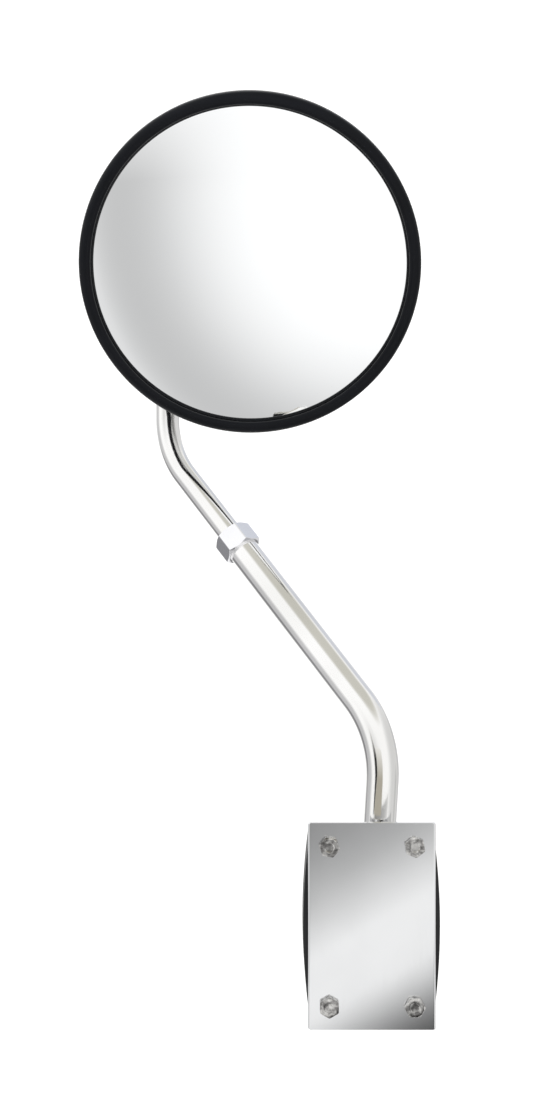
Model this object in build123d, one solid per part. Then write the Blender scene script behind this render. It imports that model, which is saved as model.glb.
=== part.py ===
from build123d import *
import math
import os

# Bolt-on round convex mirror on an adjustable two-piece tube arm.
# Millimetres. The origin is the centre of the rear mounting face, X is right,
# Y points back through the mounting bolts and Z is up. The mirror faces -Y.

# Base plate, clamp blocks and bolts
PLATE_WIDTH = 76.2
PLATE_HEIGHT = 123.8
PLATE_THICK = 2.8
PLATE_FRONT = -34.0
PLATE_CORNER = 1.5
PLATE_EDGE_ROUND = 1.3
BOLT_SPAN_X = 50.8
BOLT_SPAN_Z = 95.25
BOLT_RADIUS = 3.175
BOLT_SHANK_RADIUS = 3.1
BOLT_HOLE_RADIUS = 3.35
BOLT_HEAD_FLATS = 11.1
BOLT_HEAD_HEIGHT = 4.2
BOLT_STANDOUT = 16.0
BLOCK_HEIGHT = 107.0
BLOCK_END_WIDTH = 74.6
BLOCK_MID_WIDTH = 81.8
BLOCK_GAP = 0.6
BLOCK_CORNER = 2.0
GASKET_THICK = 1.5
GASKET_WIDTH = 73.0
GASKET_HEIGHT = 104.0

# Lower tube: a nearly upright leg in the clamp, then a diagonal
LEG_Y = -17.0
LEG_FOOT_X = 2.3
LEG_BOTTOM_Z = -49.0
LOWER_CORNER = Vector(8.9, LEG_Y, 112.8)
LOWER_RADIUS = 10.0
LOWER_BORE = 8.5
LOWER_BEND = 65.0
LOWER_END = 166.2
THREAD_RADIUS = 9.4
THREAD_LENGTH = 10.0
THREAD_PITCH = 1.5
THREAD_DEPTH = 0.3
RUNNING_FIT = 0.06

# Upper tube: slides in the lower tube, bends upright, ends in a drilled tab
UPPER_CORNER = Vector(-130.0, 98.0, 290.6)
UPPER_RADIUS = 7.94
UPPER_BORE = 6.4
UPPER_BEND = 55.0
UPPER_START = 102.2
TAB_WIDTH = 22.0
TAB_THICK = 3.2
TAB_BELOW_STUD = 13.0
TAB_TRANSITION = 27.0

# Compression nut, ferrule and guide plug
NUT_FLATS = 23.0
NUT_START = 157.7
NUT_LENGTH = 15.5
NUT_LIP = 1.5
NUT_LIP_BORE = 8.3
FERRULE_LENGTH = 5.3
FERRULE_RADIUS = 9.1
GUIDE_LENGTH = 14.0
GUIDE_SPIGOT = 12.0

# Mirror head, in its own frame: origin at the centre of the rim plane, +Y back
HEAD_CENTRE = Vector(-73.4, 24.0, 401.8)
HEAD_PITCH = 20.5
RIM_RADIUS = 107.95
VISIBLE_RADIUS = 100.2
CONVEX_RADIUS = 320.0
GLASS_RADIUS = 102.5
GLASS_THICK = 2.5
BOARD_RADIUS = 103.5
BOARD_FRONT = 3.8
BOARD_THICK = 1.4
FLANGE_RADIUS = 104.0
FLANGE_FRONT = 5.2
SHELL_THICK = 1.0
SHELL_BACK = 33.0
SHELL_FLAT_RADIUS = 84.0
SHELL_WALL_RADIUS = 100.5
SHELL_CORNER = 8.0
RING_FRONT = -4.0
RING_BACK = 9.6

# Ball joint, on an axis to the left of the head's centre
BALL_OFFSET = -56.6
BALL_DEPTH = 20.0
BALL_RADIUS = 9.0
SEAT_RADIUS = 12.0
SEAT_OPENING = 40.0
SEAT_DEPTH = 6.0
SOCKET_OPENING = 45.0
SOCKET_RADIUS = 15.0
SOCKET_FLANGE_RADIUS = 22.0
RIVET_CIRCLE = 18.3
RIVET_RADIUS = 2.0
NECK_RADIUS = 4.0
STUD_RADIUS = 3.97
COLLAR_FRONT = 33.0
WASHER_THICK = 1.6
WASHER_RADIUS = 9.0
LOCK_WASHER_THICK = 1.9
STUD_NUT_HEIGHT = 6.8
STUD_NUT_FLATS = 12.7

DIAGONAL = UPPER_CORNER - LOWER_CORNER
PITCH = math.radians(HEAD_PITCH)
BALL_CENTRE = HEAD_CENTRE + Vector(BALL_OFFSET, BALL_DEPTH * math.cos(PITCH), BALL_DEPTH * math.sin(PITCH))
TAB_FRONT = UPPER_CORNER.Y - TAB_THICK / 2 - BALL_CENTRE.Y


def cylinder_y(radius, start, end):
    """A cylinder along Y between two stations."""
    return Pos(0, (start + end) / 2, 0) * Rot(90, 0, 0) * Cylinder(radius, end - start)


def hexagon_y(flats, start, end, chamfer_back=True):
    """A hexagonal bar along Y, with its corners turned off in front and, if wanted, behind."""
    bar = Plane.XZ.offset(-start) * RegularPolygon(flats / 2, 6, major_radius=False)
    solid = extrude(bar, -(end - start))
    corner = flats / math.sqrt(3) + 0.1
    slope = 0.5 * (corner - flats / 2 * 0.97)
    length = end - start
    outline = [(0, 0), (flats / 2 * 0.97, 0), (corner, slope), (corner, length - slope)]
    outline += [(flats / 2 * 0.97, length), (0, length)]
    if not chamfer_back:
        outline[-3:-1] = [(corner, length)]
    turned = revolve(make_face(Polyline(*outline, close=True)), Axis.Y)
    return solid & (Pos(0, start, 0) * turned)


def ring_y(inner, outer, start, end):
    """A plain ring along Y."""
    return cylinder_y(outer, start, end) - cylinder_y(inner, start - 1, end + 1)


def on_diagonal(station):
    """A plane square to the diagonal, at a distance from the lower corner."""
    origin = LOWER_CORNER + DIAGONAL.normalized() * station
    axis = DIAGONAL.normalized()
    toward_front = Vector(0, -1, 0) - axis * Vector(0, -1, 0).dot(axis)
    across = toward_front.normalized().cross(axis)
    return Plane(origin=origin, x_dir=across, z_dir=axis)


def bar_on_diagonal(radius, start, end):
    """A cylinder on the diagonal between two stations."""
    return extrude(on_diagonal(start) * Circle(radius), end - start)


def bolt_places():
    """The centres of the four base bolts."""
    corners = []
    for side in (-1, 1):
        for level in (-1, 1):
            corners.append(Pos(side * BOLT_SPAN_X / 2, 0, level * BOLT_SPAN_Z / 2))
    return corners


def drilled(body, radius):
    """The body with the four bolt holes."""
    for place in bolt_places():
        body = body - place * cylinder_y(radius, PLATE_FRONT - 5, 5)
    return body


def leg_direction():
    """The direction of the leg, from its foot to the lower corner."""
    foot = Vector(LEG_FOOT_X, LEG_Y, 0)
    return (LOWER_CORNER - foot).normalized()


def leg_point(level):
    """The point of the leg's axis at a height."""
    direction = leg_direction()
    return Vector(LEG_FOOT_X, LEG_Y, 0) + direction * (level / direction.Z)


def leg_bar(radius, bottom, top):
    """A cylinder on the leg's axis."""
    plane = Plane(origin=leg_point(bottom), z_dir=leg_direction())
    return extrude(plane * Circle(radius), (top - bottom) / leg_direction().Z)


def swept(radius, points, bend):
    """A round bar swept along straight runs joined by one bend."""
    path = FilletPolyline(*points, radius=bend)
    start = Plane(origin=path @ 0, z_dir=path % 0)
    return sweep(start * Circle(radius), path=path)


def base_plate():
    """Polished plate with softly rounded long edges."""
    outline = Plane.XZ.offset(-PLATE_FRONT) * RectangleRounded(PLATE_WIDTH, PLATE_HEIGHT, PLATE_CORNER)
    plate = extrude(outline, -PLATE_THICK)
    front = plate.faces().sort_by(Axis.Y)[0]
    long_edges = front.edges().filter_by(Axis.Z)
    plate = fillet(long_edges, PLATE_EDGE_ROUND)
    return drilled(plate, BOLT_HOLE_RADIUS)


def clamp_block(front, back):
    """Half of the clamp: barrel-sided block with a groove for the leg."""
    half = BLOCK_HEIGHT / 2
    end = BLOCK_END_WIDTH / 2
    middle = BLOCK_MID_WIDTH / 2
    right = ThreePointArc((end, -half), (middle, 0), (end, half))
    left = ThreePointArc((-end, half), (-middle, 0), (-end, -half))
    top = Line((end, half), (-end, half))
    bottom = Line((-end, -half), (end, -half))
    outline = make_face([right, top, left, bottom])
    block = extrude(Plane.XZ.offset(-front) * outline, -(back - front))
    corners = block.edges().filter_by(Axis.Y)
    block = fillet(corners, BLOCK_CORNER)
    block = block - leg_bar(LOWER_RADIUS + RUNNING_FIT, LEG_BOTTOM_Z - 3, half + 10)
    return drilled(block, BOLT_HOLE_RADIUS)


def base_gasket():
    """Thin rubber sheet under the rear clamp block."""
    outline = Plane.XZ * RectangleRounded(GASKET_WIDTH, GASKET_HEIGHT, 3.0)
    return drilled(extrude(outline, GASKET_THICK), BOLT_HOLE_RADIUS)


def base_bolts():
    """Four long hexagon screws, which stand out of the back as studs."""
    top = PLATE_FRONT - BOLT_HEAD_HEIGHT
    face = PLATE_FRONT - 0.4
    head = hexagon_y(BOLT_HEAD_FLATS, top, face, chamfer_back=False)
    head = head - cylinder_y(3.0, top - 1, top + 0.4)
    head = head + cylinder_y(1.6, top, top + 0.6)
    head = head + cylinder_y(5.3, face, PLATE_FRONT)
    stud = cylinder_y(BOLT_RADIUS, 0, BOLT_STANDOUT)
    tip = stud.edges().sort_by(Axis.Y)[-1]
    screw = head + cylinder_y(BOLT_SHANK_RADIUS, face, 0) + chamfer(tip, 0.8)
    return Compound(children=[place * screw for place in bolt_places()])


def lower_tube():
    """Bent lower tube with a reduced, threaded upper end."""
    end = on_diagonal(LOWER_END).origin
    points = [leg_point(LEG_BOTTOM_Z), LOWER_CORNER, end]
    tube = swept(LOWER_RADIUS, points, LOWER_BEND)
    start = LOWER_END - THREAD_LENGTH
    tube = tube - (bar_on_diagonal(LOWER_RADIUS + 2, start, LOWER_END + 1)
                   - bar_on_diagonal(THREAD_RADIUS, start - 1, LOWER_END + 2))
    station = start + THREAD_PITCH
    while station < LOWER_END - THREAD_PITCH / 2:
        groove = bar_on_diagonal(THREAD_RADIUS + 1, station, station + THREAD_PITCH / 2)
        core = bar_on_diagonal(THREAD_RADIUS - THREAD_DEPTH, station - 1, station + THREAD_PITCH)
        tube = tube - (groove - core)
        station += THREAD_PITCH
    return tube - swept(LOWER_BORE, points, LOWER_BEND)


def tube_end_plug():
    """Moulded plug in the foot of the lower tube."""
    spigot = leg_bar(LOWER_BORE - 0.03, LEG_BOTTOM_Z - 2, LEG_BOTTOM_Z + 12)
    return spigot + leg_bar(LOWER_RADIUS - 0.4, LEG_BOTTOM_Z - 2, LEG_BOTTOM_Z)


def compression_nut():
    """Hexagon gland nut with an inner lip that holds the ferrule down."""
    end = NUT_START + NUT_LENGTH
    corner = NUT_FLATS / math.sqrt(3) + 0.1
    land = NUT_FLATS / 2 * 0.985
    slope = 0.55 * (corner - land)
    bar = extrude(on_diagonal(NUT_START) * RegularPolygon(NUT_FLATS / 2, 6, major_radius=False), NUT_LENGTH)
    profile = [(0, 0), (land, 0), (corner, slope), (corner, NUT_LENGTH - slope), (land, NUT_LENGTH), (0, NUT_LENGTH)]
    turned = revolve(make_face(Plane.XZ * Polyline(*profile, close=True)), Axis.Z)
    nut = bar & (on_diagonal(NUT_START).location * turned)
    nut = nut - bar_on_diagonal(THREAD_RADIUS + RUNNING_FIT, NUT_START - 1, end - NUT_LIP)
    return nut - bar_on_diagonal(NUT_LIP_BORE, end - NUT_LIP - 1, end + 1)


def compression_ferrule():
    """Soft ring squeezed between the nut's lip and the lower tube."""
    start = LOWER_END + 0.1
    ring = bar_on_diagonal(FERRULE_RADIUS, start, start + FERRULE_LENGTH)
    ring = chamfer(ring.edges(), 0.4)
    return ring - bar_on_diagonal(UPPER_RADIUS + RUNNING_FIT, start - 1, start + FERRULE_LENGTH + 1)


def guide_plug():
    """Moulded guide under the upper tube, running in the lower tube."""
    top = UPPER_START - 0.2
    head = bar_on_diagonal(LOWER_BORE - RUNNING_FIT, top - GUIDE_LENGTH, top)
    head = chamfer(head.edges(), 0.6)
    return head + bar_on_diagonal(UPPER_BORE - RUNNING_FIT, top, top + GUIDE_SPIGOT)


def nearly_round(radius):
    """A rounded square so close to a circle that it lofts into a flat tab."""
    return RectangleRounded(2 * radius, 2 * radius, radius - 0.4)


def upper_tube():
    """Bent upper tube, pressed flat and drilled at the top for the ball stud."""
    x = UPPER_CORNER.X
    y = UPPER_CORNER.Y
    flat_from = BALL_CENTRE.Z - TAB_BELOW_STUD
    round_to = flat_from - TAB_TRANSITION
    points = [on_diagonal(UPPER_START).origin, UPPER_CORNER, Vector(x, y, round_to)]
    low = Plane(origin=(x, y, round_to))
    high = Plane(origin=(x, y, flat_from))
    hollow = Plane(origin=(x, y, flat_from - 6))
    outer = loft([low * nearly_round(UPPER_RADIUS), high * RectangleRounded(TAB_WIDTH, TAB_THICK, 1.3)])
    inner = loft([low * nearly_round(UPPER_BORE), hollow * RectangleRounded(15.0, 1.0, 0.3)])
    tab = Pos(x, y, flat_from + TAB_BELOW_STUD / 2) * Box(TAB_WIDTH, TAB_THICK, TAB_BELOW_STUD)
    tab = tab + Pos(x, y, BALL_CENTRE.Z) * cylinder_y(TAB_WIDTH / 2, -TAB_THICK / 2, TAB_THICK / 2)
    hole = Pos(x, y, BALL_CENTRE.Z) * cylinder_y(STUD_RADIUS + RUNNING_FIT, -10, 10)
    tube = swept(UPPER_RADIUS, points, UPPER_BEND) + outer + tab
    return tube - swept(UPPER_BORE, points, UPPER_BEND) - inner - hole


def stud_frame(body):
    """Places a piece drawn about the ball's centre."""
    return Pos(BALL_CENTRE.X, BALL_CENTRE.Y, BALL_CENTRE.Z) * body


def ball_stud():
    """Ball with a neck, a hexagon collar and a threaded end."""
    tip = TAB_FRONT + TAB_THICK + WASHER_THICK + LOCK_WASHER_THICK + STUD_NUT_HEIGHT + 2.5
    collar_end = TAB_FRONT - WASHER_THICK
    stud = Sphere(BALL_RADIUS) + cylinder_y(NECK_RADIUS, 0, COLLAR_FRONT)
    stud = stud + hexagon_y(STUD_NUT_FLATS, COLLAR_FRONT, collar_end)
    shank = cylinder_y(STUD_RADIUS, COLLAR_FRONT, tip)
    shank = chamfer(shank.edges().sort_by(Axis.Y)[-1], 0.7)
    return stud_frame(stud + shank)


def stud_washers():
    """Flat washers in front of and behind the tab."""
    front = ring_y(STUD_RADIUS + 0.2, WASHER_RADIUS, TAB_FRONT - WASHER_THICK, TAB_FRONT)
    back_from = TAB_FRONT + TAB_THICK
    back = ring_y(STUD_RADIUS + 0.2, WASHER_RADIUS, back_from, back_from + WASHER_THICK)
    return stud_frame(Compound(children=[front, back]))


def stud_lock_washer():
    """Split ring under the stud's nut."""
    start = TAB_FRONT + TAB_THICK + WASHER_THICK
    ring = ring_y(STUD_RADIUS + 0.15, 7.2, start, start + LOCK_WASHER_THICK)
    cut = Pos(0, start, 6) * Rot(0, 0, 20) * Box(1.0, 10, 8)
    return stud_frame(ring - cut)


def stud_nut():
    """Hexagon nut that clamps the stud to the tab."""
    start = TAB_FRONT + TAB_THICK + WASHER_THICK + LOCK_WASHER_THICK
    nut = hexagon_y(STUD_NUT_FLATS, start, start + STUD_NUT_HEIGHT)
    return stud_frame(nut - cylinder_y(STUD_RADIUS + 0.03, start - 1, start + STUD_NUT_HEIGHT + 1))


def cone_y(half_angle, reach):
    """A cone opening along +Y from the origin."""
    spread = reach * math.tan(math.radians(half_angle))
    return revolve(make_face(Polyline((0, 0), (spread, reach), (0, reach), close=True)), Axis.Y)


def ball_seat():
    """Plastic cup round the ball, itself ball-shaped outside."""
    seat = Sphere(SEAT_RADIUS) - Sphere(BALL_RADIUS + RUNNING_FIT)
    seat = seat - cone_y(SEAT_OPENING, 30)
    seat = seat - cylinder_y(20, -20, -SEAT_DEPTH)
    return stud_frame(seat)


def head_frame(body):
    """Places a piece drawn about the centre of the rim plane."""
    return Location((HEAD_CENTRE.X, HEAD_CENTRE.Y, HEAD_CENTRE.Z), (HEAD_PITCH, 0, 0)) * body


def in_socket(body):
    """Moves a piece drawn about the ball's centre into the head's own frame."""
    return Pos(BALL_OFFSET, BALL_DEPTH, 0) * body


def mirror_glass():
    """Convex mirror lens."""
    rise = CONVEX_RADIUS - math.sqrt(CONVEX_RADIUS ** 2 - VISIBLE_RADIUS ** 2)
    centre = Pos(0, CONVEX_RADIUS - rise, 0)
    lens = cylinder_y(GLASS_RADIUS, -20, 8)
    lens = lens & (centre * Sphere(CONVEX_RADIUS))
    return head_frame(lens - centre * Sphere(CONVEX_RADIUS - GLASS_THICK))


def backing_board():
    """Board that holds the lens against the rubber ring."""
    return head_frame(cylinder_y(BOARD_RADIUS, BOARD_FRONT, BOARD_FRONT + BOARD_THICK))


def pan_outline(shrink, flat, corner):
    """Half section of the pan, filled, as a face to revolve."""
    run = (SHELL_WALL_RADIUS - SHELL_FLAT_RADIUS) / (SHELL_BACK - FLANGE_FRONT - SHELL_THICK)
    back = SHELL_BACK - flat
    edge = SHELL_FLAT_RADIUS + flat * run - shrink
    mouth = SHELL_FLAT_RADIUS + (SHELL_BACK - FLANGE_FRONT) * run - shrink
    outline = make_face(Polyline((0, FLANGE_FRONT), (mouth, FLANGE_FRONT), (edge, back), (0, back), close=True))
    bend = outline.vertices().sort_by_distance((edge, back, 0))[0]
    return fillet(bend, corner)


def head_shell():
    """Stainless pan behind the lens, with a turned-out flange."""
    run = (SHELL_WALL_RADIUS - SHELL_FLAT_RADIUS) / (SHELL_BACK - FLANGE_FRONT - SHELL_THICK)
    shrink = SHELL_THICK * math.sqrt(1 + run * run)
    pan = revolve(pan_outline(0, 0, SHELL_CORNER), Axis.Y)
    hollow = revolve(pan_outline(shrink, SHELL_THICK, SHELL_CORNER - SHELL_THICK), Axis.Y)
    pan = pan + cylinder_y(FLANGE_RADIUS, FLANGE_FRONT, FLANGE_FRONT + SHELL_THICK)
    pan = pan - hollow
    pan = pan - in_socket(cylinder_y(11.0, 8, 16))
    for place in rivet_places():
        pan = pan - in_socket(place * cylinder_y(RIVET_RADIUS + 0.02, 8, 16))
    return head_frame(pan)


def rim_gasket():
    """Rubber ring gripping the lens, the board and the pan's flange."""
    section = Pos((VISIBLE_RADIUS + RIM_RADIUS) / 2, (RING_FRONT + RING_BACK) / 2) * Rectangle(
        RIM_RADIUS - VISIBLE_RADIUS, RING_BACK - RING_FRONT)
    front_inner = section.vertices().sort_by_distance((VISIBLE_RADIUS, RING_FRONT, 0))[0]
    section = fillet(front_inner, 2.4)
    front_outer = section.vertices().sort_by_distance((RIM_RADIUS, RING_FRONT, 0))[0]
    section = fillet(front_outer, 5.2)
    back_outer = section.vertices().sort_by_distance((RIM_RADIUS, RING_BACK, 0))[0]
    section = fillet(back_outer, 3.2)
    groove_back = FLANGE_FRONT + SHELL_THICK + 0.1
    groove = Pos(101.6, (groove_back - 0.1) / 2) * Rectangle(5.2, groove_back + 0.1)
    relief = Pos(100.0, groove_back + 3) * Rectangle(4.4, 6.2)
    return head_frame(revolve(section - groove - relief, Axis.Y))


def rivet_places():
    """Four rivets round the socket."""
    return [Rot(0, 45 + 90 * turn, 0) * Pos(RIVET_CIRCLE, 0, 0) for turn in range(4)]


def socket_housing():
    """Steel cup on the inside of the pan, holding the seat and the ball."""
    back = SHELL_BACK - SHELL_THICK - BALL_DEPTH
    body = cylinder_y(SOCKET_RADIUS, -11.5, back)
    body = body + cylinder_y(SOCKET_FLANGE_RADIUS, back - 1.6, back)
    body = body - Sphere(SEAT_RADIUS + RUNNING_FIT)
    body = body - cylinder_y(SEAT_RADIUS + RUNNING_FIT, -20, 0)
    body = body - cone_y(SOCKET_OPENING, 30)
    for place in rivet_places():
        body = body - place * cylinder_y(RIVET_RADIUS + 0.02, 0, 20)
    return head_frame(in_socket(body))


def seat_spring():
    """Flat spring washer that presses on the seat."""
    return head_frame(in_socket(ring_y(8.6, SEAT_RADIUS - 0.1, -10.0, -9.0)))


def socket_cap():
    """Pressed cap that closes the socket."""
    cap = cylinder_y(SEAT_RADIUS, -11.5, -10.0)
    return head_frame(in_socket(cap - cylinder_y(2.5, -13, -9)))


def socket_rivets():
    """Four domed rivets through the pan and the socket's flange."""
    inside = SHELL_BACK - SHELL_THICK - BALL_DEPTH - 1.6
    outside = SHELL_BACK - BALL_DEPTH
    shank = cylinder_y(RIVET_RADIUS, inside, outside)
    buck = cylinder_y(3.2, inside - 1.0, inside)
    dome = cylinder_y(3.6, outside, outside + 1.4)
    dome = fillet(dome.edges().sort_by(Axis.Y)[-1], 1.2)
    rivet = shank + buck + dome
    return head_frame(in_socket(Compound(children=[place * rivet for place in rivet_places()])))


PIECES = {
    "base_plate": base_plate,
    "base_bolts": base_bolts,
    "clamp_block_front": lambda: clamp_block(PLATE_FRONT + PLATE_THICK, LEG_Y - BLOCK_GAP / 2),
    "clamp_block_rear": lambda: clamp_block(LEG_Y + BLOCK_GAP / 2, -GASKET_THICK),
    "base_gasket": base_gasket,
    "lower_tube": lower_tube,
    "tube_end_plug": tube_end_plug,
    "compression_ferrule": compression_ferrule,
    "compression_nut": compression_nut,
    "guide_plug": guide_plug,
    "upper_tube": upper_tube,
    "ball_stud": ball_stud,
    "stud_washers": stud_washers,
    "stud_lock_washer": stud_lock_washer,
    "stud_nut": stud_nut,
    "ball_seat": ball_seat,
    "socket_housing": socket_housing,
    "seat_spring": seat_spring,
    "socket_cap": socket_cap,
    "socket_rivets": socket_rivets,
    "head_shell": head_shell,
    "backing_board": backing_board,
    "mirror_glass": mirror_glass,
    "rim_gasket": rim_gasket,
}

os.makedirs("parts", exist_ok=True)
for name, make in PIECES.items():
    export_step(make(), "parts/" + name + ".step")
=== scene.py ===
import math

import bmesh
import bpy
from mathutils import Matrix, Vector


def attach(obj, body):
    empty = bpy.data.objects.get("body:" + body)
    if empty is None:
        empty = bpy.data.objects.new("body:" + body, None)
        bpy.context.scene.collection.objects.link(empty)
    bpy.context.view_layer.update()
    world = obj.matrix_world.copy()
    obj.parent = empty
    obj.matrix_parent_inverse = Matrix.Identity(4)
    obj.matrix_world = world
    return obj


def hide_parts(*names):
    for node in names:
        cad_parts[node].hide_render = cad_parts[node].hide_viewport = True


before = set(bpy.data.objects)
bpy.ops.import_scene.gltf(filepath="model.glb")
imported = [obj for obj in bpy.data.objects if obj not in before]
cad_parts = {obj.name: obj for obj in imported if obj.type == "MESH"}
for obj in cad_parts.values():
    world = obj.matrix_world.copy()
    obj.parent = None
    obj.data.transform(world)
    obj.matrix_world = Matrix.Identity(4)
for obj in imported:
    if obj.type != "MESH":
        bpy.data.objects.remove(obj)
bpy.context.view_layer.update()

MM = 0.001

# Sizes shared with the CAD model, in millimetres
PLATE_FRONT = -34.0
PLATE_THICK = 2.8
PLATE_WIDTH = 76.2
PLATE_HEIGHT = 123.8
BOLT_X = 25.4
BOLT_Z = 47.625
BLOCK_HALF_HEIGHT = 53.5
BLOCK_END_HALF = 37.3
BLOCK_MID_HALF = 40.9
BLOCK_CORNER = 2.0
BLOCK_HALF_GAP = 0.3
GASKET_THICK = 1.5
RUNNING_FIT = 0.06
BOLT_RADIUS = 3.175
BOLT_HEAD_FLATS = 11.1
BOLT_HEAD_HEIGHT = 4.2
BOLT_WASHER_FACE = 0.4
BOLT_STANDOUT = 16.0
LEG_Y = -17.0
LEG_FOOT = Vector((2.3, -17.0, 0.0))
LEG_BOTTOM_Z = -49.0
LOWER_CORNER = Vector((8.9, -17.0, 112.8))
LOWER_RADIUS = 10.0
LOWER_BORE = 8.5
LOWER_BEND = 65.0
THREAD_RADIUS = 9.4
UPPER_CORNER = Vector((-130.0, 98.0, 290.6))
UPPER_RADIUS = 7.94
UPPER_BORE = 6.4
UPPER_BEND = 55.0
TAB_HALF_WIDTH = 11.0
DIAGONAL = (UPPER_CORNER - LOWER_CORNER).normalized()
LEG = (LOWER_CORNER - LEG_FOOT).normalized()
LOWER_END = 166.2
THREAD_LENGTH = 10.0
NUT_START = 157.7
NUT_LENGTH = 15.5
NUT_FLATS = 23.0
NUT_LIP_BORE = 8.3
UPPER_START = 102.2
HEAD_CENTRE = Vector((-73.4, 24.0, 401.8))
HEAD_PITCH = math.radians(20.5)
BALL_OFFSET = -56.6
BALL_DEPTH = 20.0
BALL_RISE = BALL_DEPTH * math.sin(HEAD_PITCH)
BALL_CENTRE = HEAD_CENTRE + Vector((BALL_OFFSET, BALL_DEPTH * math.cos(HEAD_PITCH), BALL_RISE))
BALL_RADIUS = 9.0
NECK_RADIUS = 4.0
COLLAR_FRONT = 33.0
TAB_THICK = 3.2
TAB_BELOW_STUD = 13.0
TAB_TRANSITION = 27.0
TAB_FRONT = UPPER_CORNER.y - TAB_THICK / 2 - BALL_CENTRE.y
STUD_RADIUS = 3.97
STUD_FLATS = 12.7
STUD_NUT_HEIGHT = 6.8
WASHER_THICK = 1.6
WASHER_RADIUS = 9.0
LOCK_WASHER_THICK = 1.9
LENS_FRONT_CURVE = 320.0
LENS_BACK_CURVE = 317.5
LENS_RADIUS = 102.5
VISIBLE_RADIUS = 100.2
RIM_RADIUS = 107.95
RIM_FRONT = -4.0
RIM_BACK = 9.6
PAN_BACK = 33.0
PAN_THICK = 1.0
PAN_FLAT_RADIUS = 84.0
PAN_WALL_RADIUS = 100.5
FLANGE_RADIUS = 104.0
FLANGE_FRONT = 5.2
RIVET_CIRCLE = 18.3

SEGMENTS = 128
HEAD_SEGMENTS = 256
ON_AXIS = 0.0001
THREAD_STEP = 1.27

# How far a reflection may travel to a studio card and still see it, in metres
CARD_REACH = 0.18


# ---------------------------------------------------------------- materials

def new_material(name):
    """A material with an empty node tree apart from the shader and the output."""
    material = bpy.data.materials.new(name)
    material.use_nodes = True
    tree = material.node_tree
    shader = tree.nodes["Principled BSDF"]
    return material, tree, shader


def add(tree, kind, **values):
    """A node with its named inputs and properties set."""
    node = tree.nodes.new(kind)
    for key, value in values.items():
        if key in node.inputs:
            node.inputs[key].default_value = value
        else:
            setattr(node, key, value)
    return node


def object_noise(tree, scale, detail=4.0, stretch=(1.0, 1.0, 1.0)):
    """Noise in object coordinates, optionally stretched along an axis."""
    coordinates = tree.nodes.new("ShaderNodeTexCoord")
    mapping = tree.nodes.new("ShaderNodeMapping")
    mapping.inputs["Scale"].default_value = stretch
    noise = add(tree, "ShaderNodeTexNoise", Scale=scale, Detail=detail)
    tree.links.new(coordinates.outputs["Object"], mapping.inputs["Vector"])
    tree.links.new(mapping.outputs["Vector"], noise.inputs["Vector"])
    return noise.outputs["Fac"]


def ranged(tree, value, low, high, start=0.0, end=1.0):
    """The value mapped from start..end to low..high."""
    node = tree.nodes.new("ShaderNodeMapRange")
    node.inputs["From Min"].default_value = start
    node.inputs["From Max"].default_value = end
    node.inputs["To Min"].default_value = low
    node.inputs["To Max"].default_value = high
    tree.links.new(value, node.inputs["Value"])
    return node.outputs["Result"]


def tinted(tree, value, dark, light):
    """A colour between two, by the value."""
    node = tree.nodes.new("ShaderNodeMix")
    node.data_type = "RGBA"
    node.inputs[6].default_value = (*dark, 1.0)
    node.inputs[7].default_value = (*light, 1.0)
    tree.links.new(value, node.inputs[0])
    return node.outputs[2]


def bumped(tree, shader, value, strength, distance):
    """Bump on the shader's normal."""
    node = tree.nodes.new("ShaderNodeBump")
    node.inputs["Strength"].default_value = strength
    node.inputs["Distance"].default_value = distance
    tree.links.new(value, node.inputs["Height"])
    tree.links.new(node.outputs["Normal"], shader.inputs["Normal"])


def metal(name, dark, light, rough_low, rough_high, scale, stretch=(1.0, 1.0, 1.0), bump=0.0, mottle=14.0):
    """A bare metal with slow colour and roughness variation and fine handling marks."""
    material, tree, shader = new_material(name)
    shader.inputs["Metallic"].default_value = 1.0
    slow = object_noise(tree, mottle, 3.0)
    fine = object_noise(tree, scale, 6.0, stretch)
    colour = tinted(tree, ranged(tree, slow, 0.0, 1.0, 0.38, 0.62), dark, light)
    tree.links.new(colour, shader.inputs["Base Color"])
    tree.links.new(ranged(tree, fine, rough_low, rough_high, 0.35, 0.70), shader.inputs["Roughness"])
    if bump:
        bumped(tree, shader, fine, bump, 0.0002)
    return material


def dull(name, dark, light, rough_low, rough_high, specular, grain, bump):
    """Rubber, plastic or board: grain, colour variation and low gloss."""
    material, tree, shader = new_material(name)
    shader.inputs["Specular IOR Level"].default_value = specular
    slow = object_noise(tree, 30.0, 4.0)
    fine = object_noise(tree, grain, 5.0)
    colour = tinted(tree, ranged(tree, slow, 0.0, 1.0, 0.3, 0.7), dark, light)
    tree.links.new(colour, shader.inputs["Base Color"])
    tree.links.new(ranged(tree, slow, rough_low, rough_high, 0.3, 0.7), shader.inputs["Roughness"])
    bumped(tree, shader, fine, bump, 0.0002)
    return material


POLISHED = metal("polished_stainless", (0.83, 0.825, 0.81), (0.89, 0.885, 0.875), 0.08, 0.15, 900.0)
PLATE = metal("polished_plate", (0.79, 0.795, 0.80), (0.84, 0.845, 0.85), 0.10, 0.17, 700.0, (1.0, 1.0, 0.15))
PAN = metal("spun_stainless", (0.66, 0.66, 0.65), (0.74, 0.735, 0.72), 0.22, 0.34, 500.0, bump=0.04)
FASTENER = metal("bright_fastener", (0.56, 0.555, 0.55), (0.70, 0.695, 0.68), 0.14, 0.30, 420.0, bump=0.20)
SCREW = metal("plated_screw", (0.20, 0.195, 0.19), (0.68, 0.67, 0.65), 0.12, 0.34, 420.0,
              bump=0.60, mottle=330.0)
NUT_METAL = metal("bright_nut", (0.83, 0.83, 0.85), (0.89, 0.89, 0.91), 0.10, 0.20, 900.0, bump=0.04)
ZINC = metal("zinc_steel", (0.56, 0.57, 0.58), (0.66, 0.67, 0.68), 0.25, 0.42, 600.0, bump=0.10)
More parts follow.
